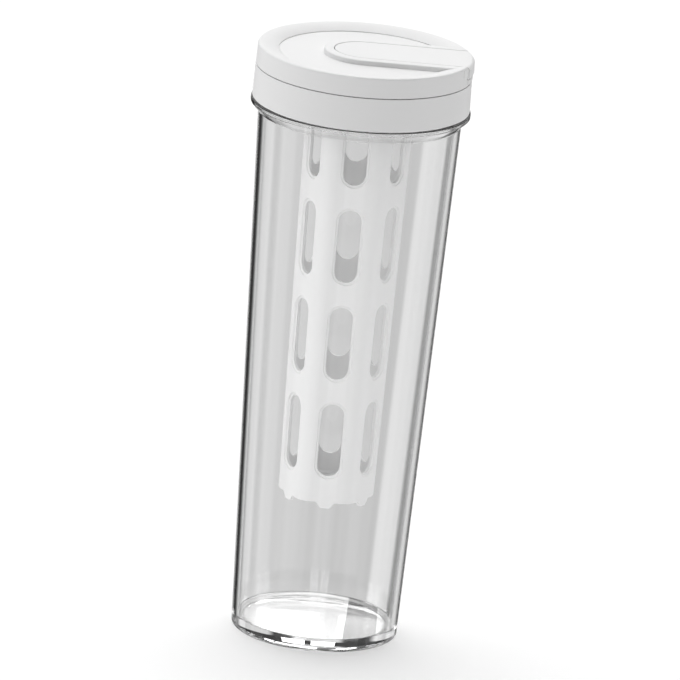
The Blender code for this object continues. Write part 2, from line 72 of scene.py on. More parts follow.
# Fixed sizes that several pieces share: clearances, edges, the hinge's bore and the lid's own thread
SEAT = 0.3 * MM
SMALL_EDGE = 0.3 * MM
PIN_BORE = 0.95 * MM
LID_PITCH = 2.4 * MM

# Hidden parts of the lid: deck, thread ring on it, and the walls of the cap
RING_HEIGHT = 3.5 * MM
RING_WALL = 2.0 * MM
RING_GAP = 0.9 * MM
DECK = 2.0 * MM
DECK_SINK = 0.3 * MM
CAP_WALL = 2.4 * MM
CAP_TOP = 2.3 * MM

# Heights and walls of the boss, the lever and what lies under them
BOSS_PROUD = 0.45 * MM
BOSS_HEIGHT = 4.2 * MM
NOSE_HEIGHT = 5.4 * MM
LEVER_HEIGHT = 2.75 * MM
PAD_HEIGHT = 2.1 * MM

# How far a tool that cuts reaches past what it cuts
PAST = 5.0 * MM


def length(name, description, millimetres):
    """A length property whose default is given in millimetres."""
    return bpy.props.FloatProperty(
        name=name, description=description, default=millimetres * MM, unit="LENGTH", precision=5
    )


def colour(name, description, red, green, blue):
    """A colour property in linear red, green and blue."""
    return bpy.props.FloatVectorProperty(
        name=name, description=description, default=(red, green, blue), subtype="COLOR", min=0, max=1
    )


def number(name, description, value):
    """A plain number property."""
    return bpy.props.FloatProperty(name=name, description=description, default=value, precision=4)


class BottleSizes(bpy.types.PropertyGroup):
    """Sizes of the clear bottle."""

    foot_radius: length("Foot radius", "Outer radius of the wall at the foot", 36.2)
    shoulder_radius: length("Shoulder radius", "Outer radius of the wall below the flange", 44.0)
    shoulder_height: length("Shoulder height", "Height at which the wall turns out to the flange", 231.8)
    wall: length("Wall", "Thickness of the wall", 2.3)
    floor_top: length("Floor top", "Height of the floor inside", 5.8)
    floor_fillet: length("Floor fillet", "Radius between the floor and the wall inside", 0.3)
    foot_fillet: length("Foot fillet", "Radius of the foot's outer edge", 2.4)
    foot_width: length("Foot width", "Width of the flat ring that the bottle stands on", 1.4)
    foot_recess: length("Foot recess", "Depth of the hollow under the floor", 1.5)
    flange_bottom: length("Flange bottom", "Height of the flange's lower edge", 235.6)
    flange_top: length("Flange top", "Height of the flange's upper face", 237.1)
    neck_radius: length("Neck radius", "Outer radius of the neck", 43.6)
    thread_height: length("Thread height", "How far the neck's thread stands out", 0.7)
    thread_pitch: length("Thread pitch", "Rise of the neck's thread in one turn", 4.0)


class LidSizes(bpy.types.PropertyGroup):
    """Sizes of the collar, the cap and the lever."""

    radius: length("Radius", "Outer radius of the collar at its lower edge", 47.0)
    draft: length("Draft", "How much narrower each tier is at its top", 0.3)
    edge: length("Edge", "Radius of the small outer edges", 0.45)
    skirt: length("Skirt", "Thickness of the collar's skirt", 1.8)
    rim_rise: length("Rim rise", "Height of the rim's crest above the dish", 2.2)
    rim_width: length("Rim width", "Width of the rim's inner slope", 8.2)
    rim_fillet: length("Rim fillet", "Radius of the rim's outer edge", 0.9)
    dish_step: length("Dish step", "Height of the small step between the dish and its rim", 0.3)
    seam_gap: length("Seam gap", "Open gap between the two tiers", 0.4)
    seam_edge: length("Seam edge", "Radius of the two edges along the seam", 0.1)
    nose_round: length("Nose round", "Radius of the lever's outer upper edge", 2.0)
    boss_half_width: length("Boss half width", "Half the width of the raised boss", 17.9)
    boss_edge: length("Boss edge", "Radius of the boss's upper edge", 0.65)
    lever_half_width: length("Lever half width", "Half the width of the lever", 13.3)
    lever_edge: length("Lever edge", "Radius of the lever's upper edge", 0.35)
    lever_corner: length("Lever corner", "Radius of the two corners of the lever's nose", 1.2)
    groove: length("Groove", "Gap round the lever", 0.4)
    spout_radius: length("Spout radius", "Radius of the spout under the lever", 7.7)
    spout_x: length("Spout place", "Distance of the spout from the axis", 30.0)


class InfuserSizes(bpy.types.PropertyGroup):
    """Sizes of the slotted infuser."""

    top_flat: length("Top flat", "Distance from the axis to a flat under the top ring", 21.3)
    bottom_flat: length("Bottom flat", "Distance from the axis to a flat at the lower edge", 18.9)
    corner: length("Corner", "Radius of the six upright corners", 7.5)
    wall: length("Wall", "Thickness of the wall", 1.9)
    slot_length: length("Slot length", "Height of a slot", 32.6)
    slot_width: length("Slot width", "Width of a slot", 9.7)
    slot_corner: length("Slot corner", "Radius of a slot's corners", 4.84)
    slot_first: length("First slot", "Middle of the lowest row of slots", 91.0)
    slot_pitch: length("Slot pitch", "Distance between two rows of slots", 43.8)
    pocket_width: length("Pocket width", "Width of the sunk border round a slot", 1.1)
    pocket_depth: length("Pocket depth", "Depth of the sunk border round a slot", 0.7)


class Finishes(bpy.types.PropertyGroup):
    """Colours and surfaces of the plastics, the rubber and the pin."""

    clear_tint: colour("Clear plastic", "Tint that light takes through one wall", 0.97, 0.97, 0.97)
    clear_ior: number("Refraction", "Index of refraction of the clear plastic", 1.54)
    lid_colour: colour("Lid", "White of the lid", 0.85, 0.85, 0.85)
    infuser_colour: colour("Infuser", "White of the infuser", 0.90, 0.90, 0.90)
    rubber_colour: colour("Silicone", "Pale silicone of the rings and the plug", 0.80, 0.80, 0.78)
    steel_colour: colour("Steel", "Drawn steel of the hinge pin", 0.62, 0.62, 0.63)


class Studio(bpy.types.PropertyGroup):
    """Camera, floor and light."""

    lens: number("Lens", "Focal length of the camera in millimetres", 664.15)
    elevation: number("Elevation", "Height of the camera above the horizon, in degrees", 16.20305)
    roll: number("Roll", "Turn of the picture, in degrees", 5.154528)
    overhead: number("Overhead", "Strength of the soft light from above and behind", 2.7)
    surround: number("Surround", "Strength of the light from the horizon", 0.22)
    below: number("From below", "Strength of the light that the pale table sends up", 0.95)
    inside: number("Inside", "Strength of the light that reaches the infuser through the wall", 0.87)
    key: number("Key", "Power of the soft lamp at the left, in watts", 3.8)


def unit(vectors):
    """Vectors divided by their lengths, and zero vectors left as they are."""
    size = np.linalg.norm(vectors, axis=-1, keepdims=True)
    return vectors / np.where(size < 1e-12, 1.0, size)


def quarter(steps):
    """Pairs (cos t, sin t) for t from nought to a right angle."""
    t = np.linspace(0, math.pi / 2, steps + 1)
    return list(zip(np.cos(t), np.sin(t)))


def around(radius, start, end, steps):
    """Points (radius cos t, radius sin t) for t from start to end, in so many steps."""
    t = np.linspace(start, end, steps + 1)
    return radius * np.column_stack([np.cos(t), np.sin(t)])


def level(flat, height):
    """Flat outline set at a height."""
    return np.column_stack([flat, np.full(len(flat), height)])


def rounded(rows, steps=5):
    """Path with rounded corners.

    Each row is (across, up, radius). A corner with half angle h between its two sides is left at the
    distance radius / tan h from it, and the arc's centre lies radius / sin h along the line that halves
    the corner. The radius is cut down where a side is too short for it.
    """
    rows = np.asarray(rows, float)
    corner, radius = rows[:, :2], rows[:, 2]
    before, after = np.roll(corner, 1, 0) - corner, np.roll(corner, -1, 0) - corner
    room = 0.49 * np.minimum(np.linalg.norm(before, axis=1), np.linalg.norm(after, axis=1))
    before, after = unit(before), unit(after)
    half = np.arccos(np.clip((before * after).sum(1), -1, 1)) / 2
    half = np.clip(half, 1e-4, math.pi / 2 - 1e-6)
    setback = np.minimum(radius / np.tan(half), room)
    radius = setback * np.tan(half)
    centre = corner + unit(before + after) * (radius / np.sin(half))[:, None]
    first, last = corner + before * setback[:, None] - centre, corner + after * setback[:, None] - centre
    start = np.arctan2(first[:, 1], first[:, 0])
    sweep = np.arctan2(last[:, 1], last[:, 0]) - start
    sweep = (sweep + math.pi) % (2 * math.pi) - math.pi
    angle = start[:, None] + sweep[:, None] * np.linspace(0, 1, steps + 1)
    arcs = centre[:, None] + radius[:, None, None] * np.stack([np.cos(angle), np.sin(angle)], -1)
    path = np.where((radius > 1e-9)[:, None, None], arcs, corner[:, None]).reshape(-1, 2)
    apart = np.linalg.norm(path - np.roll(path, 1, 0), axis=1) > 1e-8
    return path[apart]


def run(across_0, up_0, across_1, up_1, count):
    """Evenly spaced rows (across, up, 0) along a straight line, both ends left out."""
    share = np.linspace(0, 1, count + 2)[1:-1, None]
    start, end = np.array([across_0, up_0, 0.0]), np.array([across_1, up_1, 0.0])
    return start + share * (end - start)


def helix(height, pitch, low, high):
    """Thread ridge: height * c(z / pitch - angle / one turn), where c is a squared raised cosine that
    fades out smoothly within a third of the threaded length from each end."""

    def ridge(z, angle):
        phase = z / pitch - angle / (2 * math.pi)
        wave = (0.5 + 0.5 * np.cos(2 * math.pi * phase)) ** 2
        share = np.clip((z - low) / (high - low), 0, 1)
        fade = np.clip(3 * np.minimum(share, 1 - share), 0, 1)
        return height * wave * fade**2 * (3 - 2 * fade)

    return ridge


def revolve(path, turns, ridges=()):
    """Surface of revolution: (r, z) at angle a goes to (r cos a, r sin a, z). Each ridge is a pair of the
    radius that it belongs to and its function of height and angle, which is added to that radius."""
    angle = np.linspace(0, 2 * math.pi, turns, endpoint=False)[:, None]
    radius, height = np.broadcast_arrays(path[None, :, 0], path[None, :, 1] + 0 * angle)
    radius = np.array(radius)
    for home, ridge in ridges:
        radius = radius + np.where(np.abs(path[None, :, 0] - home) < 1e-6, ridge(height, angle), 0.0)
    return np.stack([radius * np.cos(angle), radius * np.sin(angle), height], -1)


def skin(grid, ends="joined"):
    """Mesh of a grid of points. The first way round always closes, and the ends of the second way are
    joined to each other, capped or left open."""
    rows, columns = grid.shape[:2]
    index = np.arange(rows * columns).reshape(rows, columns)
    across = index if ends == "joined" else index[:, :-1]
    beside = np.roll(index, -1, 1) if ends == "joined" else index[:, 1:]
    faces = np.stack([across, np.roll(across, -1, 0), np.roll(beside, -1, 0), beside], -1)
    faces = faces.reshape(-1, 4).tolist()
    if ends == "capped":
        faces += [index[:, 0].tolist(), index[::-1, -1].tolist()]
    mesh = bpy.data.meshes.new("surface")
    mesh.from_pydata(grid.reshape(-1, 3).tolist(), [], faces)
    return close(mesh, ends != "open")


def turned(path, turns, ridges=(), ends="joined"):
    """Mesh of a revolved path. One that starts and ends on the axis is capped by its poles."""
    return skin(revolve(path, turns, ridges), ends)


def close(mesh, outward=True):
    """Merge seams and poles, and turn the faces of a closed shape out."""
    bm = bmesh.new()
    bm.from_mesh(mesh)
    bmesh.ops.remove_doubles(bm, verts=bm.verts, dist=1e-7)
    bmesh.ops.dissolve_degenerate(bm, edges=bm.edges, dist=1e-8)
    if outward:
        bmesh.ops.recalc_face_normals(bm, faces=bm.faces)
    bm.to_mesh(mesh)
    bm.free()
    return mesh


def loft(rings):
    """Mesh of a stack of closed rings with both ends capped."""
    return skin(np.stack(rings, 1), "capped")


def levelled(outline, levels):
    """Stack of an outline: ring k is outline(offset k) at height k, for rows (offset, height)."""
    return loft([level(outline(offset), height) for offset, height in levels])


def edge_levels(low, high, low_edge, high_edge, steps=5):
    """Rows (offset, height) of an upright side whose lower and upper edges are quarter circles: at the
    angle t from the side, the offset is -edge * (1 - cos t) and the height is edge * (1 - sin t) off."""
    rows = []
    if low_edge:
        t = np.linspace(math.pi / 2, 0, steps + 1)
        rows.append(np.column_stack([-low_edge * (1 - np.cos(t)), low + low_edge * (1 - np.sin(t))]))
    else:
        rows.append(np.array([[0.0, low]]))
    if high_edge:
        t = np.linspace(0, math.pi / 2, steps + 1)
        rows.append(np.column_stack([-high_edge * (1 - np.cos(t)), high - high_edge * (1 - np.sin(t))]))
    else:
        rows.append(np.array([[0.0, high]]))
    return np.vstack(rows)


def tab(half_width, reach, corner=0.0, steps=24):
    """Outline of a long tab as a function of its offset: a half circle about the axis, straight sides and
    an arc about the axis at the far end, whose two corners are rounded. Each corner's bow is cut out of a
    rounded path that runs along the straight side and then along the far arc's chord."""
    bow_steps = 8

    def outline(offset):
        width, far, bend = half_width + offset, reach + offset, max(corner + offset, 0.05 * MM)
        tip = math.asin(width / far)
        back = around(width, math.pi / 2, 3 * math.pi / 2, 2 * steps)
        lean = tip - bend / math.tan((math.pi / 2 + tip) / 2) / far
        front = around(far, -lean, lean, steps)
        onward = tip - 8 * bend / far
        ahead = far * np.array([math.cos(onward), math.sin(onward)])
        point = np.array([far * math.cos(tip), width])
        bow = rounded([(0.0, width, 0.0), (*point, bend), (*ahead, 0.0)], bow_steps)
        bow = bow[(bow[:, 0] > point[0] - 2 * bend) & (bow[:, 1] > ahead[1] + 0.02 * MM)]
        if bow[0, 0] > bow[-1, 0]:
            bow = bow[::-1]
        bow = bow[: bow_steps + 1]
        return np.vstack([back, bow * [1, -1], front[1:-1], bow[::-1]])

    return outline


def block(inner, outer, half_width, steps=24):
    """Outline of a short arc-shaped block at +X as a function of its offset: two arcs about the axis."""

    def outline(offset):
        near, far, width = inner - offset, outer + offset, half_width + offset
        wide, slim = math.asin(width / far), math.asin(width / near)
        return np.vstack([around(far, -wide, wide, steps), around(near, slim, -slim, steps)])

    return outline


def bar(radius, start, end, edge=0.0, turns=48):
    """Round bar from start to end: a revolved rectangle whose axis is laid along the line between them."""
    start, end = Vector(start), Vector(end)
    long = (end - start).length
    path = rounded([(0, 0, 0), (radius, 0, edge), (radius, long, edge), (0, long, 0)])
    mesh = turned(path, turns, ends="capped")
    mesh.transform(Matrix.Translation(start) @ (end - start).to_track_quat("Z", "Y").to_matrix().to_4x4())
    return close(mesh)


def hinge_bar(radius, half, edge=0.0, turns=32):
    """Round bar along the hinge, from -half to half."""
    return bar(radius, (0, -half, HINGE_Z), (0, half, HINGE_Z), edge, turns)


def spout_bar(radius, low, high, edge=0.0, turns=72):
    """Upright round bar in the place of the spout, from one height to the other."""
    x = bpy.context.scene.lid_sizes.spout_x
    return bar(radius, (x, 0, low), (x, 0, high), edge, turns)


def bowl(radius, middle, brim, turns=96):
    """Lower part of a ball of a radius about the height middle on the axis, cut level at the brim."""
    tilt = math.asin((brim - middle) / radius)
    arc = around(radius, tilt, -math.pi / 2, 24) + [0.0, middle]
    arc[-1, 0] = 0.0
    return turned(np.vstack([[0.0, brim], arc]), turns, ends="capped")


def round_off(radius, top, bend, turns=288):
    """Ring that takes the upper edge off a shape that ends at a radius about the axis: its inner side is
    the quarter circle (radius - bend + bend cos t, top - bend + bend sin t)."""
    past = 3 * MM
    arc = around(bend, 0, math.pi / 2, 12) + [radius - bend, top - bend]
    arc[0, 0] += 0.01 * MM
    far = radius + past
    outside = [(arc[-1, 0], top + past), (far, top + past), (far, arc[0, 1])]
    return turned(np.vstack([arc, outside]), turns)


def carve(mesh, steps):
    """Join meshes to a mesh, or cut them from it, one after the other, and give the result."""
    scene = bpy.context.scene
    base = bpy.data.objects.new("being carved", mesh)
    scene.collection.objects.link(base)
    tools = []
    for operation, shape in steps:
        tool = bpy.data.objects.new("tool", shape)
        scene.collection.objects.link(tool)
        modifier = base.modifiers.new("carve", "BOOLEAN")
        modifier.operation, modifier.solver, modifier.object = operation, "EXACT", tool
        tools.append(tool)
    seen = base.evaluated_get(bpy.context.evaluated_depsgraph_get())
    result = bpy.data.meshes.new_from_object(seen)
    for item in [base, *tools]:
        bpy.data.objects.remove(item, do_unlink=True)
    return result


def piece(name, mesh, material, body, node, angle=32, even=False):
    """Finished piece: smooth but for edges sharper than the angle, on its body, in place of its node."""
    mesh.name = name
    mesh.shade_smooth()
    mesh.set_sharp_from_angle(angle=math.radians(angle))
    mesh.materials.clear()
    mesh.materials.append(material)
    item = bpy.data.objects.new(name, mesh)
    bpy.context.scene.collection.objects.link(item)
    if even:
        modifier = item.modifiers.new("even shading", "WEIGHTED_NORMAL")
        modifier.keep_sharp, modifier.weight = True, 100
    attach(item, body)
    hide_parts(node)
    return item


def plan():
    """Radii and heights that several pieces share, worked out from the properties and the frame."""
    scene = bpy.context.scene
    b, lid = scene.bottle_sizes, scene.lid_sizes
    p = SimpleNamespace()
    p.mouth, p.flange_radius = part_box("bottle_body")[1].z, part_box("bottle_body")[1].x
    p.neck_bore = b.neck_radius - b.wall
    p.collar_low, p.ring_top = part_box("lid_collar")[0].z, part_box("lid_collar")[1].z
    p.deck_top = p.ring_top - RING_HEIGHT
    p.deck_low = p.deck_top - DECK
    p.collar_top = p.deck_top + DECK_SINK
    p.seam_radius = lid.radius - lid.draft
    p.cap_radius = p.seam_radius - lid.draft
    p.cap_bore = p.seam_radius - CAP_WALL
    p.ring_radius = p.cap_bore - RING_GAP
    p.ring_bore = p.ring_radius - RING_WALL
    p.cap_low = p.collar_top + lid.seam_gap
    p.rim_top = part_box("lid_cap")[1].z
    p.dish = p.rim_top - lid.rim_rise
    p.cap_under = p.dish - CAP_TOP
    p.boss_top, p.nose_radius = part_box("flip_lever")[1].z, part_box("flip_lever")[1].x
    p.boss_radius = p.cap_radius + BOSS_PROUD
    p.nose_low = p.boss_top - NOSE_HEIGHT
    p.lever_low = p.boss_top - LEVER_HEIGHT
    p.recess_floor = p.lever_low - SEAT
    p.recess_half_width = lid.lever_half_width + lid.groove
    p.pin_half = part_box("hinge_pin")[1].y
    return p


# Shader nodes: an input takes another node's output or a plain value

WHITE = (1.0, 1.0, 1.0, 1.0)
BLACK = (0.0, 0.0, 0.0, 1.0)


def node(tree, kind, feeds=(), **settings):
    """New shader node with its settings. Feeds maps an input's name or number to a value, or to the output
    that is joined to it."""
    made = tree.nodes.new(kind)
    for key, value in settings.items():
        setattr(made, key, value)
    for key, value in dict(feeds).items():
        fill(tree, made.inputs[key], value)
    return made


def fill(tree, socket, value):
    """Join an output to an input, or give the input a plain value."""
    if isinstance(value, bpy.types.NodeSocket):
        tree.links.new(value, socket)
    else:
        socket.default_value = value


def reckon(tree, operation, *terms):
    """Result of a Math node's operation on its terms."""
    return node(tree, "ShaderNodeMath", dict(enumerate(terms)), operation=operation).outputs[0]


def ranged(tree, value, start, end, low=0.0, high=1.0, kind="LINEAR"):
    """Value carried from start to end over to low to high, on a straight line or a smooth step."""
    feeds = {"Value": value, "From Min": start, "From Max": end, "To Min": low, "To Max": high}
    return node(tree, "ShaderNodeMapRange", feeds, interpolation_type=kind).outputs["Result"]


def along(tree, vector, direction):
    """Dot product of a vector with a direction, which need not have the length one."""
    feeds = {0: vector, 1: Vector(direction).normalized()}
    return node(tree, "ShaderNodeVectorMath", feeds, operation="DOT_PRODUCT").outputs["Value"]


def noise(tree, vector, scale, detail=2.0):
    """Value of a noise texture."""
    feeds = {"Vector": vector, "Scale": scale, "Detail": detail}
    return node(tree, "ShaderNodeTexNoise", feeds).outputs["Fac"]


def blend(tree, share, first, second, how="MIX"):
    """Colour between two colours."""
    feeds = {"Factor": share, "A": first, "B": second}
    return node(tree, "ShaderNodeMix", feeds, data_type="RGBA", blend_type=how).outputs["Result"]


def either(tree, share, first, second):
    """Shader between two shaders."""
    return node(tree, "ShaderNodeMixShader", {"Fac": share, 1: first, 2: second}).outputs[0]


def background(tree, strength, tint=WHITE):
    """Light of the world in a strength and a colour."""
    return node(tree, "ShaderNodeBackground", {"Color": tint, "Strength": strength}).outputs[0]


def tone_ramp(tree, share, stops, interpolation="LINEAR"):
    """Grey tones over an eighth of a turn to either side, for rows (degrees, tone)."""
    made = node(tree, "ShaderNodeValToRGB", {"Fac": share})
    made.color_ramp.interpolation = interpolation
    elements = made.color_ramp.elements
    for spot, (degrees, tone) in enumerate(stops):
        where = (degrees + 45) / 90
        stop = elements[spot] if spot < 2 else elements.new(where)
        stop.position, stop.color = where, (tone, tone, tone, 1.0)
    return made.outputs["Color"]


def mirrored_or_through(tree, rays):
    """One for what the eye sees mirrored in the plastic or bent by it, and nought for plain light."""
    return reckon(tree, "MAXIMUM", rays["Is Glossy Ray"], rays["Is Transmission Ray"])


# Materials


def blank(name):
    """New material of a name, and its node tree."""
    material = bpy.data.materials.new(name)
    material.use_nodes = True
    return material, material.node_tree


def moulded_surface():
    """Group for moulded plastic and rubber: a fine grain and a broad unevenness.

    The colour factor is 1 - shade * broad noise, the roughness is its base plus spread * broad noise, and
    the height is the fine noise times the grain.
    """
    name = "moulded surface"
    if name in bpy.data.node_groups:
        return bpy.data.node_groups[name]
    tree = bpy.data.node_groups.new(name, "ShaderNodeTree")
    face = tree.interface
    face.new_socket("Colour", in_out="INPUT", socket_type="NodeSocketColor")
    defaults = {"Roughness": 0.45, "Spread": 0.08, "Shade": 0.03, "Grain": 1.0, "Scale": 1.0}
    for label, value in defaults.items():
        face.new_socket(label, in_out="INPUT", socket_type="NodeSocketFloat").default_value = value
    face.new_socket("Colour", in_out="OUTPUT", socket_type="NodeSocketColor")
    face.new_socket("Roughness", in_out="OUTPUT", socket_type="NodeSocketFloat")
    face.new_socket("Height", in_out="OUTPUT", socket_type="NodeSocketFloat")
    start = node(tree, "NodeGroupInput").outputs
    place = node(tree, "ShaderNodeTexCoord").outputs["Object"]
    spread = node(tree, "ShaderNodeVectorMath", {0: place, "Scale": start["Scale"]}, operation="SCALE")
    broad = noise(tree, spread.outputs["Vector"], 60.0, 3.0)
    fine = noise(tree, spread.outputs["Vector"], 3200.0)
    shade = reckon(tree, "MULTIPLY", broad, start["Shade"])
    feeds = {
        "Colour": blend(tree, shade, start["Colour"], BLACK, "MULTIPLY"),
        "Roughness": reckon(tree, "MULTIPLY_ADD", broad, start["Spread"], start["Roughness"]),
        "Height": reckon(tree, "MULTIPLY", fine, start["Grain"]),
    }
    node(tree, "NodeGroupOutput", feeds)
    return tree


def moulded(name, tint, roughness, spread, shade, grain, scale=1.0, sheen=0.5):
    """Opaque moulded material whose grain, unevenness and roughness come from the shared group."""
    if name in bpy.data.materials:
        return bpy.data.materials[name]
    material, tree = blank(name)
    feeds = {"Colour": (*tint, 1.0), "Roughness": roughness, "Spread": spread, "Shade": shade}
    feeds |= {"Grain": grain, "Scale": scale}
    surface = node(tree, "ShaderNodeGroup", feeds, node_tree=moulded_surface())
    feeds = {"Strength": 0.12, "Distance": 0.02 * MM, "Height": surface.outputs["Height"]}
    bump = node(tree, "ShaderNodeBump", feeds)
    shader = tree.nodes["Principled BSDF"].inputs
    shader["Specular IOR Level"].default_value = sheen
    fill(tree, shader["Base Color"], surface.outputs["Colour"])
    fill(tree, shader["Roughness"], surface.outputs["Roughness"])
    fill(tree, shader["Normal"], bump.outputs["Normal"])
    return material


def lid_plastic():
    """White satin plastic of the lid."""
    tint = bpy.context.scene.finishes.lid_colour
    return moulded("white satin plastic", tint, 0.42, 0.1, 0.02, 1.0)


def infuser_plastic():
    """White, slightly smoother plastic of the infuser."""
    tint = bpy.context.scene.finishes.infuser_colour
    return moulded("infuser plastic", tint, 0.36, 0.1, 0.02, 0.6)


def rubber():
    """Pale matt silicone."""
    tint = bpy.context.scene.finishes.rubber_colour
    return moulded("silicone", tint, 0.6, 0.12, 0.05, 1.4, 0.8, 0.35)


def steel():
    """Drawn steel: fine rings of roughness round the pin, stretched along its length."""
    name = "drawn steel"
    if name in bpy.data.materials:
        return bpy.data.materials[name]
    material, tree = blank(name)
    tint = bpy.context.scene.finishes.steel_colour
    shaded = [0.8 * part for part in tint]
    place = node(tree, "ShaderNodeTexCoord").outputs["Object"]
    stretch = node(tree, "ShaderNodeMapping", {"Vector": place, "Scale": (1.0, 0.05, 1.0)})
    lines = noise(tree, stretch.outputs["Vector"], 6000.0)
    shader = tree.nodes["Principled BSDF"].inputs
    shader["Metallic"].default_value = 1.0
    fill(tree, shader["Roughness"], ranged(tree, lines, 0.0, 1.0, 0.18, 0.38))
    fill(tree, shader["Base Color"], blend(tree, lines, (*tint, 1.0), (*shaded, 1.0)))
    return material


def clear_plastic():
    """Clear polished plastic, with the faint waviness that moulding leaves. Lamps shine through it."""
    name = "clear plastic"
    if name in bpy.data.materials:
        return bpy.data.materials[name]
    finishes = bpy.context.scene.finishes
    material, tree = blank(name)
    place = node(tree, "ShaderNodeTexCoord").outputs["Object"]
    waves = noise(tree, place, 28.0, 0.0)
    shader = tree.nodes["Principled BSDF"]
    shader.inputs["Base Color"].default_value = (*finishes.clear_tint, 1.0)
    shader.inputs["IOR"].default_value = finishes.clear_ior
    shader.inputs["Transmission Weight"].default_value = 1.0
    fill(tree, shader.inputs["Roughness"], ranged(tree, waves, 0.0, 1.0, 0.0, 0.006))
    shadow = node(tree, "ShaderNodeLightPath").outputs["Is Shadow Ray"]
    through = node(tree, "ShaderNodeBsdfTransparent", {"Color": (*finishes.clear_tint, 1.0)})
    surface = either(tree, shadow, shader.outputs["BSDF"], through.outputs["BSDF"])
    fill(tree, tree.nodes["Material Output"].inputs["Surface"], surface)
    return material


# Pieces


class BuildBottle(bpy.types.Operator):
    """Clear bottle: foot, tapered wall, flange and threaded neck in one wall."""

    bl_idname = "coldbrew.bottle"
    bl_label = "Bottle"

    def execute(self, context):
        b, p = context.scene.bottle_sizes, plan()
        stand = b.foot_radius - b.foot_fillet - b.foot_width
        slope = (b.shoulder_radius - b.foot_radius) / (b.shoulder_height - b.foot_fillet)
        foot_edge, flange_edge, lip, bend = 0.15 * MM, 0.4 * MM, 0.6 * MM, 0.8 * MM
        flange_wall, roof_out, roof_in = 2.2 * MM, 0.7 * MM, 0.5 * MM
        thread_margin = 0.8 * MM
        low, high = b.flange_top + thread_margin, p.mouth - thread_margin
        inner = b.foot_radius - b.wall + slope * (b.floor_top - b.foot_fillet)
        rows = [
            (0, b.foot_recess, 0),
            (stand - b.foot_recess, b.foot_recess, foot_edge),
            (stand, 0, foot_edge),
            (b.foot_radius - slope * b.foot_fillet, 0, b.foot_fillet),
            (b.shoulder_radius, b.shoulder_height, bend),
            (p.flange_radius, b.flange_bottom, flange_edge),
            (p.flange_radius, b.flange_top, 0.3 * MM),
            (b.neck_radius, b.flange_top, flange_edge),
            *run(b.neck_radius, low, b.neck_radius, high, 48).tolist(),
            (b.neck_radius, p.mouth, lip),
            (p.neck_bore, p.mouth, lip),
            (p.neck_bore, b.flange_top - roof_in, lip),
            (p.flange_radius - flange_wall, b.flange_top - roof_out, flange_edge),
            (b.shoulder_radius - b.wall, b.shoulder_height + bend, bend),
            (inner, b.floor_top, b.floor_fillet),
            (0, b.floor_top, 0),
        ]
        thread = helix(b.thread_height, b.thread_pitch, low, high)
        mesh = turned(rounded(rows, 8), 288, [(b.neck_radius, thread)], ends="capped")
        piece("bottle_clear", mesh, clear_plastic(), "bottle", "bottle_body", 40)
        return {"FINISHED"}


class BuildSeals(bpy.types.Operator):
    """Two flat silicone rings: one on the bottle's mouth and one between the tiers of the lid, set back so
    that the seam stays dark."""

    bl_idname = "coldbrew.seals"
    bl_label = "Seals"

    def execute(self, context):
        p = plan()
        edge = 0.35 * MM
        rings = (
            ("neck_seal", "neck_ring", "neck_gasket", p.neck_bore, 0.0),
            ("cap_seal", "cap_ring", "cap_gasket", p.ring_bore, 1.5 * MM),
        )
        for name, title, body, bore, setback in rings:
            low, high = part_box(name)
            inner, outer = bore + SEAT, high.x - setback
            rows = [(inner, low.z, edge), (outer, low.z, edge), (outer, high.z, edge), (inner, high.z, edge)]
            piece(title, turned(rounded(rows), 160), rubber(), body, name, 50)
        return {"FINISHED"}


def pour_windows(near, far, rib, low, high, count=4):
    """Cutters for the deck's windows: arc-shaped prisms between two radii, with straight ribs between them
    whose half width rib / 2 is seen from the axis under the angle asin(rib / 2 / radius)."""
    cuts = []
    wide, slim = [math.pi / count - math.asin(rib / 2 / radius) for radius in (far, near)]
    for window in range(count):
        turn = 2 * math.pi * window / count
        outer, inner = around(far, turn - wide, turn + wide, 24), around(near, turn + slim, turn - slim, 16)
        flat = np.vstack([outer, inner])
        cuts.append(("DIFFERENCE", loft([level(flat, low), level(flat, high)])))
    return cuts


